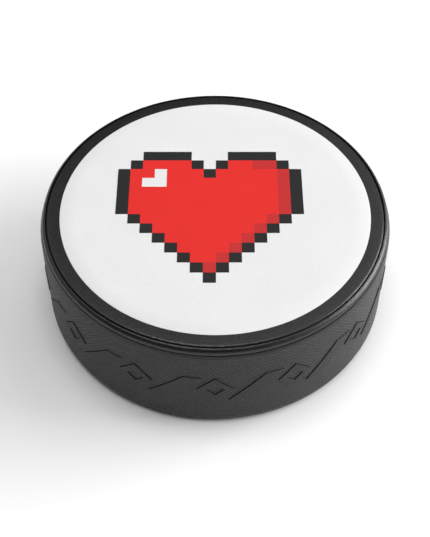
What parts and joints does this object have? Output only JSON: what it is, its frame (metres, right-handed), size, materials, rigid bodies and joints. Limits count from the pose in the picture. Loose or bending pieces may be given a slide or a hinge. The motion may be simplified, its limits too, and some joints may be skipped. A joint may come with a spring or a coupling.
{
  "type": "hockey puck",
  "caption": "Ice hockey puck: a black rubber disc with grooved face edges, a diamond-knurled wall with a raised geometric frieze, and a white printed face with a block heart.",
  "frame": {"origin": "centre of the face that the puck rests on", "axes": "+Z along the puck's axis and out of the printed face, +Y towards the top of the printed heart, +X towards its shaded side"},
  "size_m": [0.0762, 0.0762, 0.0255],
  "materials": {
    "black_rubber": "matte vulcanised rubber with a fine grain",
    "clear_adhesive": "translucent acrylic adhesive, seen only as a hairline at the film's edge",
    "white_film": "matte white vinyl film",
    "black_ink": "matte printed ink",
    "red_ink": "matte printed ink",
    "dark_red_ink": "matte printed ink"
  },
  "bodies": {
    "root": {"puck_body": "black_rubber", "decal_adhesive": "clear_adhesive", "decal_film": "white_film", "outline_ink": "black_ink", "heart_ink": "red_ink", "shade_ink": "dark_red_ink"}
  },
  "joints": []
}
